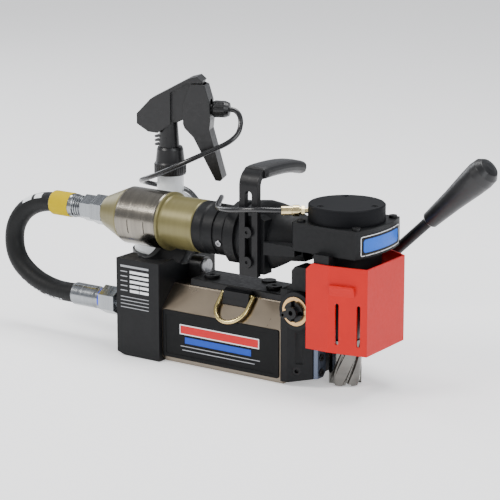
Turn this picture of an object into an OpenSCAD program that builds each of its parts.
// Low-profile pneumatic magnetic drill press.
// Frame: origin in the middle of the magnet's foot, on the work surface. +X towards the cutter,
// -Y the label side, +Y the feed lever side, +Z up. Millimetres. The head stands a little above its lowest point.

/* [Magnet base] */
// Half width of the magnet body
mag_hw = 40; // [39:0.5:41]
// Rear end of the magnet body
mag_x0 = -54; // [-54:1:-54]
// Front end of the magnet body
mag_x1 = 80; // [80:1:80]
// Height of the vertical sides
mag_side_h = 52; // [50:1:53]
// Height of the magnet body
mag_h = 72.6; // [72.6:0.1:72.6]
// Thickness of the top plate
plate_t = 6.4; // [5:0.1:6.5]

/* [Valve block] */
// Length of the valve block along the machine
vb_len = 50; // [46:1:50]
// Half width of the valve block
vb_hw = 45; // [43:1:45]
// Height of the valve block
vb_h = 94.7; // [92:0.1:95]
// Wall radius of the threaded air inlet
inlet_r = 7.5; // [6:0.1:8]

/* [Drive] */
// Height of the air motor's axis
mz = 125.5; // [125.5:0.1:125.5]
// Radius of the throttle sleeve
sleeve_r = 27.5; // [26.5:0.1:27.5]
// Radius of the motor barrel
barrel_r = 25; // [24:0.1:25.5]
// Distance of the spindle from the middle of the magnet
spx = 124.4; // [124.4:0.1:124.4]
// Radius of the top cap
cap_r = 35; // [33:0.5:36]
// Height of the top cap
cap_h = 15.4; // [12:0.1:16]
// Teeth of the bevel pinion on the motor shaft
bev_z1 = 10; // [10:1:10]
// Teeth of the bevel gear on the spindle
bev_z2 = 30; // [30:1:30]

/* [Feed] */
// Distance of the feed shaft from the middle of the magnet
px = 97.8; // [97.8:0.1:97.8]
// Height of the feed shaft
pz = 72.9; // [72.9:0.1:72.9]
// Module of the rack and pinion
rp_m = 1.25; // [1.25:0.01:1.25]
// Teeth of the feed pinion
rp_z = 12; // [12:1:12]
// Angle of the feed lever above the horizontal
lever_a = 43; // [40:1:50]
// Radius of the lever rod
rod_r = 5; // [4:0.1:5.5]
// Length of the lever grip
grip_len = 84; // [84:1:90]

/* [Cutter] */
// Radius of the annular cutter
cut_r = 15; // [12:0.5:15]
// Lowest point of the cutter above the work surface
cut_z0 = 1; // [0.5:0.1:2]
// Cutting teeth
cut_n = 6; // [4:1:8]

/* [Coolant bottle] */
// Radius of the coolant bottle
bot_r = 36; // [33:0.5:36]
// Height of the bottle's neck above the work surface
neck_z = 132; // [128:1:133]

/* [Handle] */
// Width of the handle bar
hb_w = 20; // [16:1:22]
// Thickness of the handle bar
hb_t = 5.5; // [4:0.5:6]

/* [Hidden] */
plate_z = mag_h + plate_t;
vb_x0 = mag_x0 - vb_len;
low = 8;                 // how far the head can still go down
cs = [-131, 77];         // axis of the coolant bottle
cs_a = 22;               // direction the sprayer points
hx = 44;                 // middle of the handle bar
rx0 = 5; rx1 = 39;       // lifting ring arms
ry = -24; rz = 73;       // lifting ring hinge
cov_z = 149.7; cov_t = 3.3; cap_z = cov_z + cov_t;
rp_r = rp_m * rp_z / 2;  // pitch radius of the feed pinion
rack_x = px + rp_r;      // pitch line of the rack
btn_y = 12; btn_z = 84;
hose_y = -12; hose_z = 41;
inlet_y = 22;

// route of the air hose, from the motor to the valve block
hose_pts = [[-214.6,0,125.5],[-224,0,125],[-239,0,121],[-252,-2,113],[-261,-4,100],[-264,-5,86],[-261,-7,72],[-254,-8,61],[-242,-9,52],[-226,-10,45],[-207,-11,41],[-191,-12,40.7],[-180.6,-12,41]];
hose_r = 9.5;
// route of the coolant tube, from the spray nozzle to the quick coupler
tube_pts = [[-74.3,99.9,217.5],[-69.6,101.8,216.3],[-65,102.2,211.6],[-62.3,100,204],[-62,94,195],[-68,85,187],[-82,75,179],[-102,61,168],[-126,57,156],[-148,61,147],[-161,69,142],[-166,80,138],[-162,91,134],[-150,97,132],[-134,97,133],[-115,88,132.5],[-96,75,128],[-78,60,127],[-58,44,131],[-38,27,142],[-22,11,152],[-11,-4,157],[-3,-18,157],[4,-31,155],[15,-41,156],[31,-46,158],[50,-46,161],[65,-41,161.6],[75.8,-34,161.3]];
tube_r = 2.5;

// ---------- helpers ----------
module cx(x0, x1, r, fn = 72) { translate([x0,0,0]) rotate([0,90,0]) cylinder(h = x1 - x0, r = r, $fn = fn); }
module cy(y0, y1, r, fn = 72) { translate([0,y0,0]) rotate([-90,0,0]) cylinder(h = y1 - y0, r = r, $fn = fn); }
module along_x(x0, x1) { translate([x0,0,0]) rotate([90,0,90]) linear_extrude(x1 - x0) children(); }
module along_y(y0, y1) { translate([0,y1,0]) rotate([90,0,0]) linear_extrude(y1 - y0) children(); }
module along_z(z0, z1) { translate([0,0,z0]) linear_extrude(z1 - z0) children(); }
module rev_x(p, fn = 72) { rotate([0,90,0]) rotate_extrude($fn = fn) polygon([for (q = p) [q[1], q[0]]]); }
module both() { children(); mirror([0,1,0]) children(); }
module rrect(w, h, r) { // rounded rectangle about its middle
  square([w - 2*r, h], center = true); square([w, h - 2*r], center = true);
  for (i = [-1,1], j = [-1,1]) translate([i*(w/2 - r), j*(h/2 - r)]) circle(r = r, $fn = 32);
}
function unit(v) = v / norm(v);
function tang(p, i) = unit(p[min(i+1, len(p)-1)] - p[max(i-1, 0)]);
function carry(p, i, n) = i >= len(p) ? [] : let(t = tang(p,i), m = unit(n - t*(n*t))) concat([m], carry(p, i+1, m));
function cr(a,b,c,d,t) = 0.5*((2*b) + (c-a)*t + (2*a-5*b+4*c-d)*t*t + (3*b-a-3*c+d)*t*t*t);
function smooth(p, k) = concat([for (i = [0:len(p)-2]) for (j = [0:k-1]) cr(p[max(i-1,0)], p[i], p[i+1], p[min(i+2,len(p)-1)], j/k)], [p[len(p)-1]]);
module tube(p, r, n, up = [0,0,1]) {
  m = carry(p, 0, up); L = len(p);
  pts = [for (i = [0:L-1]) let(t = tang(p,i), b = cross(t, m[i])) for (k = [0:n-1]) p[i] + r*(cos(360*k/n)*m[i] + sin(360*k/n)*b)];
  side = [for (i = [0:L-2]) for (k = [0:n-1]) let(a = i*n + k, b = i*n + (k+1)%n) each [[a, a+n, b], [b, a+n, b+n]]];
  ends = [[for (k = [0:n-1]) k], [for (k = [n-1:-1:0]) (L-1)*n + k]];
  polyhedron(points = pts, faces = concat(side, ends), convexity = 8);
}
function inv_pt(rb, r, s) = let(a = acos(min(1, rb/r)), th = tan(a)*180/PI - a) [r, s*th];
// external spur gear outline with true involute flanks, a tooth on the x axis
module spur(z, m, ra, rf, thin) {
  rp = m*z/2; rb = rp*cos(20); invp = tan(20)*180/PI - 20;
  half = 90/z - thin/rp*90/PI;
  polygon([for (i = [0:z-1]) for (q = concat(
     [[rf, -(half + invp)]],
     [for (k = [0:4]) let(r = max(rb,rf+0.01) + (ra - max(rb,rf+0.01))*k/4, v = inv_pt(rb, r, 1)) [r, -(half + invp - v[1])]],
     [for (k = [4:-1:0]) let(r = max(rb,rf+0.01) + (ra - max(rb,rf+0.01))*k/4, v = inv_pt(rb, r, 1)) [r, half + invp - v[1]]],
     [[rf, half + invp]])) let(a = 360*i/z + q[1]) [q[0]*cos(a), q[0]*sin(a)]]);
}
// one bevel tooth about the apex: cone angle dc, from R1 to R2, angles of tip and root, half widths in degrees
module bevel_tooth(R1, R2, c0, c1, c2, h0, h1, h2) {
  f = function(R, c, h) [R*sin(c)*cos(h), R*sin(c)*sin(h), R*cos(c)];
  P = [for (R = [R1, R2]) each [f(R,c0,-h0), f(R,c1,-h1), f(R,c2,-h2), f(R,c2,h2), f(R,c1,h1), f(R,c0,h0)]];
  polyhedron(points = P, faces = [[0,1,2,3,4,5],[11,10,9,8,7,6],
    [0,6,7,1],[1,7,8,2],[2,8,9,3],[3,9,10,4],[4,10,11,5],[5,11,6,0]]);
}

// ---------- magnet base (root) ----------
module magnet_body() color([0.43,0.40,0.36]) difference() {
  along_x(mag_x0, mag_x1) polygon([[-mag_hw+5,0],[mag_hw-5,0],[mag_hw,5.5],[mag_hw,mag_side_h],[21,mag_h-1],[21,mag_h],[-21,mag_h],[-21,mag_h-1],[-mag_hw,mag_side_h],[-mag_hw,5.5]]);
  translate([-46,-30,10]) cube([118,60,44]);
  for (x = [-22,48.5]) translate([x,-4,58]) cylinder(h = 30, r = 4, $fn = 32);
}
module side_plates() color([0.08,0.08,0.09]) both() difference() {
  along_y(-mag_hw-1.3, -mag_hw) translate([13,28.8]) rrect(131, 45.4, 2);
  along_y(-mag_hw-2, -mag_hw-0.8) translate([13,28.8]) rrect(124, 38.4, 1.5);
}
module magnet_carriage() color([0.35,0.36,0.38]) union() {
  for (i = [0:6]) translate([-44 + i*15,-28,12.3]) cube([11,56,40]);
  translate([-44,-20,22]) cube([101,40,20]);
}
module top_plate() color([0.16,0.17,0.19]) difference() {
  along_x(-35, 73) polygon([[-20,mag_h],[20,mag_h],[20,plate_z-1],[19,plate_z],[-19,plate_z],[-20,plate_z-1]]);
  for (x = [-22,48.5]) translate([x,-4,mag_h-1]) cylinder(h = 20, r = 4, $fn = 32);
  translate([31,13,plate_z-3]) cylinder(h = 5, r = 7, $fn = 48);
}
module plate_screws() color([0.12,0.12,0.14]) union() {
  for (x = [-22,48.5]) translate([x,-4,0]) difference() {
    union() { translate([0,0,60]) cylinder(h = plate_z-60, r = 4, $fn = 32); translate([0,0,plate_z]) cylinder(h = 2.6, r = 7.5, $fn = 48); }
    translate([0,0,plate_z-2]) cylinder(h = 6, r = 2.9, $fn = 6);
  }
  translate([31,13,plate_z-3]) cylinder(h = 4.6, r = 7, $fn = 48);
}
module ring_bracket() color([0.10,0.10,0.11]) difference() {
  along_x(rx0+2.7, rx1-2.7) polygon([[-20,mag_h],[-20,plate_z-1.2],[-23,plate_z-1.2],[-27.6,75.8],[-28.3,68.6],[-30,64],[-29.4,mag_h-9.63],[-21,mag_h-0.95],[-21,mag_h]]);
  translate([0,ry,rz]) cx(0, 50, 2.06, 48);
}
module lifting_ring() color([0.78,0.70,0.47]) translate([0,ry,rz]) rotate([135.7,0,0]) union() {
  // local z points from the hinge to the far end of the ring
  cx(rx0, rx1, 2, 48);
  for (x = [rx0,rx1]) translate([x,0,0]) { sphere(r = 2, $fn = 32); cylinder(h = 13, r = 2, $fn = 48); }
  translate([(rx0+rx1)/2,0,13]) rotate([90,0,0]) rotate_extrude(angle = 180, $fn = 96) translate([(rx1-rx0)/2,0]) circle(r = 2, $fn = 32);
}

// ---------- valve block (root) ----------
module valve_block() color([0.13,0.14,0.16]) difference() {
  along_y(-vb_hw, vb_hw) polygon([[vb_x0,3],[vb_x0+9,0.4],[mag_x0,0.4],[mag_x0,vb_h],[vb_x0,vb_h]]);
  translate([0,0,mz-10]) rev_x([[-110,0],[-110,29],[-98,29],[-88,38],[-78,41],[-68,38],[-58,29],[-50,29],[-50,0]], 96);
  translate([0,hose_y,hose_z]) cx(vb_x0-1, vb_x0+14, 7.5);
  translate([0,inlet_y,hose_z]) cx(vb_x0-1, vb_x0+16, inlet_r);
  translate([0,btn_y,btn_z]) cx(-58.5, mag_x0+1, 4.2);
  for (x = [-92,-74]) translate([x,0,66]) cy(vb_hw-10, vb_hw+1, 2, 32);
}
module valve_housing() color([0.07,0.07,0.08]) difference() {
  translate([0,btn_y,btn_z]) { cx(mag_x0, -41, 9.2); translate([mag_x0,-9.2,-11]) cube([-41-mag_x0,18.4,11]); }
  translate([0,btn_y,btn_z]) cx(mag_x0-1, -44, 4.2);
  translate([0,btn_y,btn_z]) cx(-48.5, -40, 7);
}
module valve_button() color([0.82,0.83,0.85]) translate([0,btn_y,btn_z]) union() {
  cx(-55, -42, 4.1); cx(-43, -38, 6.6);
}
// ---------- front slide housing (root) ----------
module slide_housing() color([0.13,0.13,0.15]) difference() {
  union() {
    along_z(4, 91) polygon([[mag_x1,-40],[87,-40],[110.4,-33],[110.4,33],[87,40],[mag_x1,40]]);
    both() along_y(-38, -20) polygon([[84,91],[90.5,97],[90.5,109],[94,113],[110.4,113],[110.4,91]]);
    translate([px,0,pz]) { cy(-42.5,-30,17.5,96); cy(30,42.5,17.5,96); }
    along_y(-20, 20) polygon([[mag_x1,84],[mag_x1,91],[73.6,84]]);
  }
  translate([104.9,-18.3,3]) cube([10,36.6,120]);
  translate([103.2,-9.6,3]) cube([5,19.2,120]);
  translate([px,0,pz]) cy(-60, 60, 10.2);
  translate([px,0,pz]) { cy(-60,-24,13.4,96); cy(24,60,13.4,96); }
  along_y(-50, 50) polygon([[88,3.9],[111,9],[112,3]]);
  both() translate([99.5,-41,22]) cylinder(h = 29, r = 6, $fn = 48);
  both() translate([95.8,-37.4,15]) rotate([0,0,16.7]) rotate([-90,0,0]) translate([0,0,-2]) cylinder(h = 9.8, r = 4, $fn = 48);
  both() for (z = [14,28,42,56,94,106]) translate([0,-24,z]) cx(100, 112, 2, 32);
}
module shaft_bushes() color([0.80,0.66,0.44]) translate([px,0,pz]) both() difference() {
  cy(-43.6,-24.5,13.4,96); cy(-50,-20,9.8,96);
}
module gib_plates() color([0.33,0.36,0.43]) both() difference() {
  along_x(110.6, 114) polygon([[-32,9],[-21,9],[-16.5,13.5],[-16.5,112],[-32,112]]);
  translate([px,0,pz]) { cy(-60,-29.7,17.8,96); cy(-60,-24.2,13.7,96); }
  translate([114,-32,0]) rotate([0,0,45]) cube([3,3,240], center = true);
  for (z = [14,28,42,56,94,106]) translate([0,-24,z]) { cx(100, 120, 2.05, 32); cx(112.2, 120, 3.7, 32); }
}
module small_screws() color([0.25,0.26,0.29]) union() {
  both() for (z = [14,28,42,56,94,106]) translate([0,-24,z]) difference() {
    union() { cx(101, 113, 2, 32); cx(112.2, 114.8, 3.4, 32); }
    cx(113.4, 116, 1.5, 6);
  }
  both() translate([95.8,-37.4,15]) rotate([0,0,16.7]) rotate([-90,0,0]) translate([0,0,0.4]) difference() { cylinder(h = 7.2, r = 4, $fn = 48); translate([0,0,-1]) cylinder(h = 4, r = 2.2, $fn = 6); }
  for (x = [-92,-74]) translate([x,0,66]) difference() { union() { cy(36, 47.4, 2, 32); cy(47.4, 50, 3.4, 48); } cy(48.6, 51, 1.5, 6); }
}

// ---------- feed shaft and lever ----------
module pinion_shaft() color([0.17,0.17,0.19]) translate([px,0,pz]) difference() {
  union() {
    cy(-46.5, -24.2, 9.75, 96); cy(24.2, 60, 9.75, 96);
    cy(-24.4, 24.4, 5.6);
    along_y(-9, 9) rotate(0) spur(rp_z, rp_m, rp_r + 1.05, rp_r - 1.45, 0.12);
  }
  for (a = [0,90]) rotate([0,a,0]) translate([-2,-47,-12]) cube([4,4,24]);
  cy(54, 61, 2.6, 32);
}
module drive_dog() color([0.10,0.10,0.11]) translate([px,0,pz]) rotate([0,-19,0]) difference() {
  union() { cy(-50.5,-46.5,5.6,48); translate([-9,-50.5,-3.2]) cube([9,4,6.4]); translate([-9,0,0]) cy(-50.5,-46.5,3.2,32); }
  translate([-9,0,0]) cy(-51,-46,1.4,32);
  cy(-51,-46,2.2,32);
}
module shaft_washer() color([0.6,0.61,0.63]) translate([px,0,pz]) difference() {
  union() { cy(60, 62, 13, 64); cy(62, 65, 5, 48); cy(54.5, 60, 2.6, 32); }
  cy(63.5, 66, 2, 6);
}
module lever_hub() color([0.10,0.10,0.11]) translate([px,0,pz]) difference() {
  union() {
    cy(43.9, 59.6, 16.5, 96);
    rotate([0,-lever_a,0]) translate([0,51.8,0]) cx(10, 23, 7.7, 64);
  }
  cy(40, 62, 9.85, 96);
  rotate([0,-lever_a,0]) translate([0,51.8,0]) cx(17, 30, rod_r, 48);
}
module lever_rod() color([0.09,0.09,0.10]) translate([px,51.8,pz]) rotate([0,-lever_a,0]) cx(17, 118, rod_r, 64);
module lever_grip() color([0.07,0.07,0.08]) translate([px,51.8,pz]) rotate([0,-lever_a,0]) difference() {
  rev_x([[112,0],[112,6.8],[113.5,8],[122,8.6],[145,10.2],[170,12.9],[182,13.8],[190,13],[194.5,9.5],[112+grip_len,4],[112+grip_len,0]], 64);
  cx(110, 118, rod_r, 48);
}

// ---------- moving head ----------
module slide_bar() color([0.45,0.47,0.50]) difference() {
  union() {
    translate([105.2,-18,34]) cube([5,36,78]);
    for (k = [-9:7]) translate([rack_x,0,pz + (k+0.5)*PI*rp_m]) if (pz + (k+0.5)*PI*rp_m > 36 && pz + (k+0.5)*PI*rp_m < 109)
      along_y(-9, 9) polygon([[1.6,-1.46],[-0.9,-0.55],[-0.9,0.55],[1.6,1.46]]);
  }
  translate([104,-9.4,33]) difference() { cube([rack_x+1.35-104,18.8,80]); for (k = [-9:7]) translate([rack_x-104,9.4,pz-33 + (k+0.5)*PI*rp_m]) if (pz + (k+0.5)*PI*rp_m > 36 && pz + (k+0.5)*PI*rp_m < 109) along_y(-9, 9) polygon([[1.6,-1.46],[-0.9,-0.55],[-0.9,0.55],[1.6,1.46]]); }
  translate([spx,0,30]) cylinder(h = 14, r = cut_r + 0.7, $fn = 96);
}
module box_outline(g = 0) {
  difference() {
    intersection() {
      translate([88.4,-38]) square([80,76]);
      translate([40,0]) circle(r = 123, $fn = 200);
    }
    for (s = [-1,1]) translate([88.4,s*38]) rotate(45) square([5,5], center = true);
  }
}
module gearbox_housing() color([0.12,0.12,0.13]) difference() {
  union() {
    along_z(127.4, cov_z) box_outline();
    translate([spx,0,92]) cylinder(h = 40, r = 15.5, $fn = 96);
    translate([spx,0,121.6]) cylinder(h = 6, r = 32, $fn = 96);
    intersection() { translate([spx,0,107]) cylinder(h = 15, r = 32, $fn = 96); translate([116,-40,100]) cube([60,80,30]); }
    translate([0,0,mz]) rev_x([[9,0],[9,31],[20,31],[21,28.5],[29,33],[38,34],[48,33],[60,30.5],[74,25.5],[84,22],[90,20],[90,12.5],[106,12.5],[106,0]], 96);
    along_y(-34, -22) polygon([[30,99],[58,99],[58,149],[52,152],[36,152],[30,149]]);
    both() along_y(-44.2, -30) polygon([[118,108],[118,129],[134,129],[134,112],[130,108]]);
    along_y(-36,-24) polygon([[58,118],[58,130],[92,130],[92,121]]);
  }
  translate([0,-20,90]) cube([110.2,40,22]);
  // gear chamber, pinion chamber, shaft and bearing bores
  translate([spx,0,129.4]) cylinder(h = 30, r = 25.5, $fn = 96);
  translate([0,0,mz]) { cx(96, 112, 9.7); cx(0, 100, 7); cx(80, 88, 11); cx(8, 26, 14); }
  translate([spx,0,90]) cylinder(h = 12, r = 12.9, $fn = 96);
  translate([spx,0,90]) cylinder(h = 45, r = 9, $fn = 64);
  translate([spx,0,mz-9]) cylinder(h = 14, r = 11.5, $fn = 64);
  for (z = [138.2,110.4]) translate([hx,0,z]) cy(-35, -27, 2.5, 32);
  for (p = [[96,-31],[154,-31],[96,31],[154,31]]) translate([p[0],p[1],138]) cylinder(h = 20, r = 2, $fn = 32);
  translate([126,0,118]) cy(36, 46, 2, 32);
}
module gearbox_cover() color([0.13,0.13,0.15]) difference() {
  along_z(cov_z, cap_z) box_outline();
  translate([spx,0,cov_z-1]) cylinder(h = 10, r = 14, $fn = 96);
  for (p = [[96,-31],[154,-31],[96,31],[154,31]]) translate([p[0],p[1],140]) cylinder(h = 20, r = 2, $fn = 32);
}
module cover_screws() color([0.30,0.31,0.33]) for (p = [[96,-31],[154,-31],[96,31],[154,31]]) translate([p[0],p[1],0]) difference() {
  union() { translate([0,0,139]) cylinder(h = cap_z-139, r = 2, $fn = 32); translate([0,0,cap_z]) cylinder(h = 2.4, r = 3.8, $fn = 48); }
  translate([0,0,cap_z+1]) cylinder(h = 3, r = 1.5, $fn = 6);
}
module top_cap() color([0.14,0.15,0.17]) translate([spx,0,cap_z]) difference() {
  union() { cylinder(h = cap_h-1, r = cap_r, $fn = 128); translate([0,0,cap_h-1]) cylinder(h = 1, r1 = cap_r, r2 = cap_r-1, $fn = 128); }
  translate([0,0,-1]) cylinder(h = 1+cap_h-5, r = 14, $fn = 96);
  for (a = [5,125,245]) rotate(a) translate([28,0,cap_h-3]) cylinder(h = 5, r = 3, $fn = 48);
  for (a = [5,125,245]) rotate(a) translate([28,0,-1]) cylinder(h = 30, r = 1.6, $fn = 32);
  rotate(215) translate([0,0,8.3]) cx(cap_r-9, cap_r+2, 2.4, 32);
}
module cap_screws() color([0.25,0.26,0.28]) translate([spx,0,cap_z]) for (a = [5,125,245]) rotate(a) translate([28,0,0]) difference() {
  union() { cylinder(h = cap_h-3, r = 1.6, $fn = 32); translate([0,0,cap_h-3]) cylinder(h = 2.4, r = 2.95, $fn = 48); }
  translate([0,0,cap_h-2]) cylinder(h = 3, r = 1.4, $fn = 6);
}
guard_line = [[111,-45],[134.6,-45],[171,-39],[168.5,27],[134.6,45],[122,45]];
function side_n(a,b) = let(d = unit(b-a)) [d[1],-d[0]];
function off_pt(p,i,d) = i == 0 ? p[0] + d*side_n(p[0],p[1]) : i == len(p)-1 ? p[i] + d*side_n(p[i-1],p[i]) :
  let(n1 = side_n(p[i-1],p[i]), n2 = side_n(p[i],p[i+1]), m = unit(n1+n2)) p[i] + d/(m*n1)*m;
module chip_guard() color([0.84,0.29,0.23]) difference() {
  union() {
    along_z(41.5, 121) polygon(concat([for (i = [0:5]) off_pt(guard_line,i,0.75)], [for (i = [5:-1:0]) off_pt(guard_line,i,-0.75)]));
    translate([148,-43.5,0]) rotate([0,0,9.4]) along_x(-12, 12) polygon([[0.4,104.6],[-3,104.2],[-3,102.4],[-0.8,97],[0.4,93]]);
  }
  along_y(-50,-40) polygon([[110,122],[110,114],[118,122]]);
  for (x = [143,163.5]) along_y(-48,-36) translate([x,68.5]) rrect(3.5,38,1.7);
  translate([126,0,118]) cy(40, 50, 2.1, 32);
  translate([155,34.17,99]) rotate([0,0,-28]) rotate([-90,0,0]) translate([0,0,-6]) cylinder(h = 12, r = 2.5, $fn = 32);
}
module guard_screws() color([0.80,0.28,0.25]) union() {
  translate([126,0,118]) { cy(38, 45.75, 2, 32); cy(45.75, 46.45, 4, 48); }
  translate([155,34.17,99]) rotate([0,0,-28]) rotate([-90,0,0]) translate([0,0,-3.5]) { cylinder(h = 11, r = 2.4, $fn = 32); translate([0,0,0.75]) cylinder(h = 2, r = 4, $fn = 32); }
}
module reducer_case() color([0.10,0.10,0.12]) translate([0,0,mz]) difference() {
  rev_x([[-32,0],[-32,24.3],[-30,25],[-22,25],[-20,24],[-9,24],[-8.5,22.6],[-7,22.6],[-6.5,24],[3,24],[4.5,22.5],[4.5,14],[9,14],[9,0]], 96);
  cx(-40, 10, 7); cx(-33, -25, 13); cx(-26, 2, 18.5);
}
module motor_barrel() color([0.59,0.55,0.39]) translate([0,0,mz]) difference() {
  rev_x([[-73,0],[-73,27.2],[-72,28],[-70,28],[-69,25.6],[-67,barrel_r],[-33,barrel_r],[-32,24.3],[-32,0]], 96);
  cx(-69, -35, 19); cx(-74, -31, 7); cx(-36, -31, 13);
}
module motor_tail() color([0.57,0.54,0.40]) translate([0,0,mz]) difference() {
  rev_x([[-148,0],[-148,14],[-146,15.8],[-130,22.7],[-122,26.2],[-120.4,26.4],[-120.4,22],[-73,22],[-73,0]], 96);
  cx(-157, -110, 7.5); cx(-112, -80, 14); cx(-82, -72, 7); cx(-82, -73, 12);
}
module throttle_sleeve() color([0.62,0.58,0.50]) translate([0,0,mz]) difference() {
  rev_x([[-120,22.1],[-120,26.8],[-119,sleeve_r],[-74.4,sleeve_r],[-73.4,26.8],[-73.4,22.1]], 96);
  for (x = [-104.5,-85.5]) rotate([100,0,0]) translate([x,0,sleeve_r]) cube([0.9,14,2.4], center = true);
}
module motor_rotor() color([0.55,0.56,0.58]) translate([0,0,mz]) union() {
  difference() { cx(-67, -37, 16); for (i = [0:4]) rotate([72*i,0,0]) translate([-68,-1,9]) cube([32,2,10]); }
  cx(-80, 102, 6);
  // bevel pinion, a tooth towards the gear
  translate([spx,0,0]) rotate([0,-90,0]) {
    for (i = [0:bev_z1-1]) rotate(360*i/bev_z1) bevel_tooth(16.4, 23.7, 12.5, 18.43, 21.3, 9.2, 8.0, 3.2);
    rotate_extrude($fn = 64) polygon([[0,16],[16.4*sin(13.6),16.4*cos(13.6)],[23.7*sin(13.6),23.7*cos(13.6)],[0,23.03]]);
  }
}
module rotor_vanes() color([0.45,0.30,0.18]) translate([0,0,mz]) for (i = [0:4]) rotate([72*i,0,0]) translate([-66.5,-0.95,9.2]) cube([29,1.9,9]);
module motor_bearings() color([0.70,0.71,0.73]) translate([0,0,mz]) {
  difference() { cx(-81, -73, 12); cx(-90, -70, 6.06); }
  difference() { cx(-36, -28, 13); cx(-40, -20, 6.06); }
  difference() { cx(80, 88, 11); cx(70, 90, 6.06); }
}

// ---------- spindle ----------
module spindle() color([0.60,0.61,0.63]) translate([spx,0,0]) difference() {
  union() { translate([0,0,44]) cylinder(h = 46, r = 13.5, $fn = 96); translate([0,0,89]) cylinder(h = 64, r = 7.5, $fn = 64); translate([0,0,103]) cylinder(h = 5, r = 8.7, $fn = 64); translate([0,0,141]) cylinder(h = 6, r = 9, $fn = 64); }
  translate([0,0,43]) cylinder(h = 20, r = 9.5, $fn = 96);
  translate([0,0,43]) cylinder(h = 46, r = 3.25, $fn = 48);
  for (a = [70,-110]) rotate(a) translate([0,0,54]) cx(0, 20, 3, 32);
}
module bevel_gear() color([0.58,0.57,0.55]) translate([spx,0,mz]) difference() {
  union() {
    for (i = [0:bev_z2-1]) rotate(360*(i+0.5)/bev_z2) bevel_tooth(16.4, 23.7, 66.8, 71.565, 74.2, 3.1, 2.25, 1.3);
    rotate_extrude($fn = 96) polygon([[0,16.4*cos(67.6)],[16.4*sin(67.6),16.4*cos(67.6)],[23.7*sin(67.6),23.7*cos(67.6)],[22.3,15.5],[0,15.5]]);
  }
  translate([0,0,-1]) cylinder(h = 30, r = 7.5, $fn = 64);
}
module spindle_bearings() color([0.70,0.71,0.73]) translate([spx,0,0]) {
  difference() { translate([0,0,93]) cylinder(h = 9, r = 12.9, $fn = 96); translate([0,0,90]) cylinder(h = 20, r = 7.56, $fn = 64); }
  difference() { translate([0,0,147.4]) cylinder(h = 8, r = 14, $fn = 96); translate([0,0,140]) cylinder(h = 20, r = 7.56, $fn = 64); }
}
module annular_cutter() color([0.62,0.62,0.60]) translate([spx,0,0]) union() {
  difference() {
    translate([0,0,cut_z0]) linear_extrude(height = 43-cut_z0, twist = -75, slices = 15) difference() {
      circle(r = cut_r, $fn = 48);
      for (i = [0:cut_n-1]) rotate(360*i/cut_n) translate([cut_r-0.4,0]) circle(r = 2.5, $fn = 10);
    }
    translate([0,0,cut_z0-1]) cylinder(h = 38, r = cut_r-3.6, $fn = 48);
    for (i = [0:cut_n-1]) rotate(360*i/cut_n) translate([cut_r-6,0.6,cut_z0-1]) rotate([-12,0,0]) cube([8,5,3.4]);
    translate([0,0,20]) cylinder(h = 60, r = 3.25, $fn = 32);
  }
  difference() { translate([0,0,43]) cylinder(h = 20, r = 9.5, $fn = 64); translate([0,0,20]) cylinder(h = 60, r = 3.25, $fn = 32); for (a = [70,-110]) rotate(a) translate([0,0,54]) cx(8.6, 12, 3.01, 32); }
}
module cutter_screws() color([0.22,0.22,0.24]) translate([spx,0,54]) for (a = [70,-110]) rotate(a) difference() { cx(8.6, 13.2, 3, 32); cx(11.5, 14, 1.5, 6); }
module pilot_pin() color([0.72,0.73,0.74]) translate([spx,0,0]) union() {
  translate([0,0,3.4]) cylinder(h = 63, r = 3.18, $fn = 48);
  translate([0,0,2]) cylinder(h = 1.4, r1 = 0.8, r2 = 3.18, $fn = 48);
}
module pilot_spring() color([0.6,0.6,0.62]) tube([for (i = [0:84]) [spx + 2.4*cos(i*30), 2.4*sin(i*30), 67.2 + 20.6*i/84]], 0.4, 5);

// ---------- air motor handle ----------
module handle_bar() color([0.20,0.20,0.21]) difference() {
  union() {
    translate([hx-hb_w/2,-34-hb_t,97]) cube([hb_w,hb_t,83]);
    intersection() {
      translate([0,-24,180]) difference() { cx(hx-hb_w/2, hx+hb_w/2, 10+hb_t, 96); cx(0, 90, 10, 96); }
      translate([hx-hb_w/2-1,-24-20,180]) cube([hb_w+2,20,20]);
    }
    translate([hx-hb_w/2,-24,190]) cube([hb_w,14,hb_t]);
  }
  along_y(-45,-30) translate([hx,140.2]) rrect(7.6,71.4,3.8);
}
grip_pts = [[hx,-29,191.2],[hx,-18,191.5],[hx,-5,191.4],[hx,8,190.8],[hx,20,189.5],[hx,31,187.4],[hx,41,184.6]];
function sup(a,w,h) = [w/2*sign(cos(a))*pow(abs(cos(a)),0.7), h/2*sign(sin(a))*pow(abs(sin(a)),0.7)];
module handle_grip() color([0.08,0.08,0.09]) {
  P = smooth(grip_pts, 2); L = len(P); n = 20;
  pts = [for (i = [0:L-1]) let(t = tang(P,i), b = cross(t,[1,0,0]), k = i == L-1 ? 0.72 : i == 0 ? 0.94 : 1) for (j = [0:n-1]) let(s = sup(360*j/n, 25*k, 12.5*k)) P[i] + s[0]*[1,0,0] + s[1]*b];
  side = [for (i = [0:L-2]) for (k = [0:n-1]) let(a = i*n+k, b = i*n+(k+1)%n) each [[a,b,a+n],[b,b+n,a+n]]];
  polyhedron(points = pts, faces = concat(side, [[for (k = [n-1:-1:0]) k], [for (k = [0:n-1]) (L-1)*n+k]]), convexity = 4);
}
module handle_screws() color([0.28,0.28,0.30]) for (z = [138.2,110.4]) translate([hx,0,z]) difference() {
  union() { cy(-39.5, -28, 2.5, 32); cy(-42.3, -39.5, 5.2, 48); }
  cy(-44, -41, 1.7, 6);
}

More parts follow.
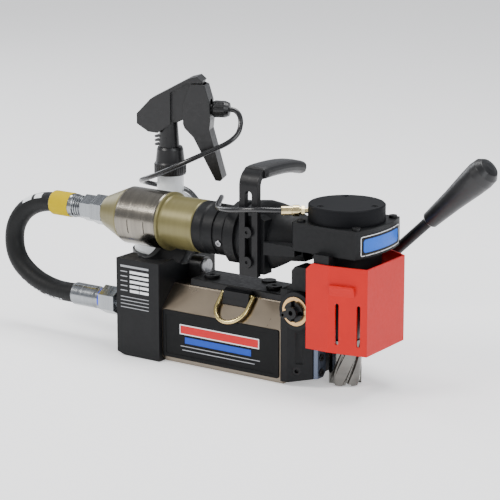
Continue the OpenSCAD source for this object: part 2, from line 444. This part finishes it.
// ---------- air hose ----------
module upper_fitting() color([0.66,0.67,0.66]) translate([0,0,mz]) union() {
  cx(-161, -148, 15, 6); cx(-162, -160.5, 11.5, 48); cx(-175, -161.8, 13.2, 6); cx(-186, -174.5, 10, 48); cx(-148.5, -135, 7.5, 48);
}
module upper_ferrule() color([0.70,0.71,0.70]) translate([0,0,mz]) difference() {
  rev_x([[-215,0],[-215,11],[-214,11.5],[-191,11.5],[-190,10.6],[-188.5,10.6],[-188,11.5],[-186.5,11.5],[-186,10.8],[-186,0]], 64);
  cx(-216, -214, 10, 48);
}
module lower_fitting() color([0.66,0.67,0.66]) translate([0,hose_y,hose_z]) union() {
  cx(-147, -143.5, 9.4, 48); cx(-143.5, -125, 14.2, 6); cx(-125, -112, 8.2, 48); cx(-112, vb_x0, 12.5, 6); cx(vb_x0-0.5, vb_x0+13.5, 7.5, 48);
}
module lower_ferrule() color([0.62,0.63,0.63]) translate([0,hose_y,hose_z]) rev_x([[-180,0],[-180,10.4],[-179,11],[-152,11],[-150,9.8],[-147,9.8],[-147,0]], 64);
module air_hose() color([0.08,0.08,0.09]) tube(smooth(hose_pts, 2), hose_r, 12);

// ---------- coolant ----------
module in_coupler() { translate([spx - (cap_r-0.2)*cos(35), -(cap_r-0.2)*sin(35), cap_z+8.3]) rotate([0,0,215]) children(); }
module coolant_coupler() color([0.80,0.74,0.56]) in_coupler() difference() { union() { cx(-8, 3, 2.4, 32); cx(3, 6, 4.4, 6); cx(6, 14.6, 3.6, 48); cx(14.6, 24, 4.3, 48); } cx(10, 26, 1.5, 32); }
module coupler_sleeve() color([0.78,0.76,0.70]) in_coupler() difference() { cx(7.8, 13.8, 5.2, 48); cx(0, 20, 3.68, 48); }
module coolant_tube() color([0.06,0.06,0.07]) tube(smooth(tube_pts, 1), tube_r, 8);
module bottle() color([0.93,0.94,0.95]) translate([cs[0],cs[1],0]) difference() {
  rotate_extrude($fn = 96) polygon([[0,1],[bot_r-4,1],[bot_r,5],[bot_r,neck_z-24],[bot_r-4,neck_z-15],[bot_r-14,neck_z-6],[15,neck_z-1],[13.2,neck_z+1],[13.2,neck_z+38],[0,neck_z+38]]);
  rotate_extrude($fn = 96) polygon([[0,2.6],[bot_r-5,2.6],[bot_r-1.6,6],[bot_r-1.6,neck_z-24],[bot_r-5.4,neck_z-16],[bot_r-15,neck_z-7.4],[14,neck_z-2.4],[11.8,neck_z],[11.8,neck_z+39],[0,neck_z+39]]);
}
module bottle_collar() color([0.10,0.10,0.11]) translate([cs[0],cs[1],0]) difference() {
  rotate_extrude($fn = 96) polygon([[0,151],[15.4,151],[15.6,152],[15.4,162],[14.4,163.5],[13,176],[12,178.4],[0,178.4]]);
  translate([0,0,150]) cylinder(h = 20, r = 13.2, $fn = 64);
  translate([0,0,150]) cylinder(h = 30, r = 6.2, $fn = 48);
}
module in_spray() { translate([cs[0],cs[1],0]) rotate([0,0,cs_a]) children(); }
module sprayer_body() color([0.07,0.07,0.08]) in_spray() difference() {
  union() {
    along_y(-10, 10) polygon([[-31,201.7],[-31,211.7],[-17,226.7],[3,237.6],[3,202],[0,200],[-10,193],[-19.5,194]]);
    along_y(-6.6, 6.6) polygon([[0,226],[0,236],[21,247.5],[30,250],[35,245.5],[34,241],[30,230],[22,226]]);
    along_y(-10, 10) polygon([[-4,233.8],[21,247.5],[30,250],[35,245.5],[34,243.6],[21,243.6],[-4,229]]);
    along_y(-6.6, 6.6) polygon([[0,203],[0,228],[24,228],[24,211],[10,204]]);
    translate([0,0,217]) { cx(20, 45, 5, 48); }
    translate([-1,0,178.4]) cylinder(h = 26, r1 = 10.4, r2 = 8.6, $fn = 64);
    for (z = [180.5,184.5,188.5]) translate([-9,0,z]) rotate([0,-12,0]) cylinder(h = 1.6, r = 6.4, $fn = 48);
    translate([0,0,172]) cylinder(h = 8, r = 6.2, $fn = 48);
  }
  translate([26,0,238]) cy(-12, 12, 2.05, 32);
  translate([0,0,170]) cylinder(h = 12, r = 2.6, $fn = 32);
}
module sprayer_trigger() color([0.18,0.18,0.20]) in_spray() difference() {
  union() {
    difference() {
      along_y(-9.4, 9.4) polygon([[15.6,222],[15.6,203],[17,199],[26,190],[48,148],[53,147.6],[55,150],[42,198],[43,207],[42,226],[37,243],[31,243],[22,240.5]]);
      along_y(-7.3, 7.3) polygon([[0,260],[0,140],[30,140],[51,150],[38.6,196],[39.6,207],[38.8,226],[36,234],[36.6,252]]);
      translate([0,0,217]) cx(30, 50, 5.6, 48);
      translate([0,0,222]) cx(30, 50, 5.6, 48);
      translate([30,-5.6,217]) cube([20,11.2,5]);
      along_y(-12,12) polygon([[20,243.2],[40,243.2],[40,240],[34,242.4]]);
    }
    translate([26,0,238]) cy(-9.4, 9.4, 2, 32);
    translate([26,0,238]) both() difference() { cy(-9.4, -7.3, 4.4, 48); cy(-9.4,-7.2, 1.9, 32); }
  }
}
module nozzle_nut() color([0.08,0.08,0.09]) in_spray() translate([0,0,217.5]) difference() {
  rev_x([[44.2,0],[44.2,7.4],[46,8.4],[56,8.2],[60,6.6],[60.6,4],[60.6,0]], 48);
  for (i = [0:9]) rotate([36*i,0,0]) translate([45.5,-0.8,7.6]) cube([10,1.6,2]);
  translate([0,0,-0.5]) cx(40, 45, 5, 48);
}
module dip_tube() color([0.85,0.86,0.88]) translate([cs[0],cs[1],8]) difference() { cylinder(h = 174, r = 2.6, $fn = 32); translate([0,0,-1]) cylinder(h = 176, r = 1.7, $fn = 32); }
module bottle_holder() color([0.15,0.15,0.16]) difference() {
  union() {
    translate([cs[0],cs[1],56]) cylinder(h = 20, r = bot_r+2, $fn = 96);
    along_z(56, 76) polygon([[-110,47],[-104,45],[-66,45],[-66,47.4],[-100,47.4],[-106,52]]);
  }
  translate([cs[0],cs[1],50]) cylinder(h = 30, r = bot_r+0.05, $fn = 96);
  for (x = [-92,-74]) translate([x,0,66]) cy(40, 50, 2, 32);
}

magnet_body();
side_plates();
magnet_carriage();
top_plate();
plate_screws();
ring_bracket();
lifting_ring();
valve_block();
valve_housing();
valve_button();
slide_housing();
shaft_bushes();
gib_plates();
small_screws();
pinion_shaft();
drive_dog();
shaft_washer();
lever_hub();
lever_rod();
lever_grip();
slide_bar();
gearbox_housing();
gearbox_cover();
cover_screws();
top_cap();
cap_screws();
chip_guard();
guard_screws();
reducer_case();
motor_barrel();
motor_tail();
throttle_sleeve();
motor_rotor();
rotor_vanes();
motor_bearings();
spindle();
bevel_gear();
spindle_bearings();
annular_cutter();
cutter_screws();
pilot_pin();
pilot_spring();
handle_bar();
handle_grip();
handle_screws();
upper_fitting();
upper_ferrule();
lower_fitting();
lower_ferrule();
air_hose();
coolant_coupler();
coupler_sleeve();
coolant_tube();
bottle();
bottle_collar();
sprayer_body();
sprayer_trigger();
nozzle_nut();
dip_tube();
bottle_holder();
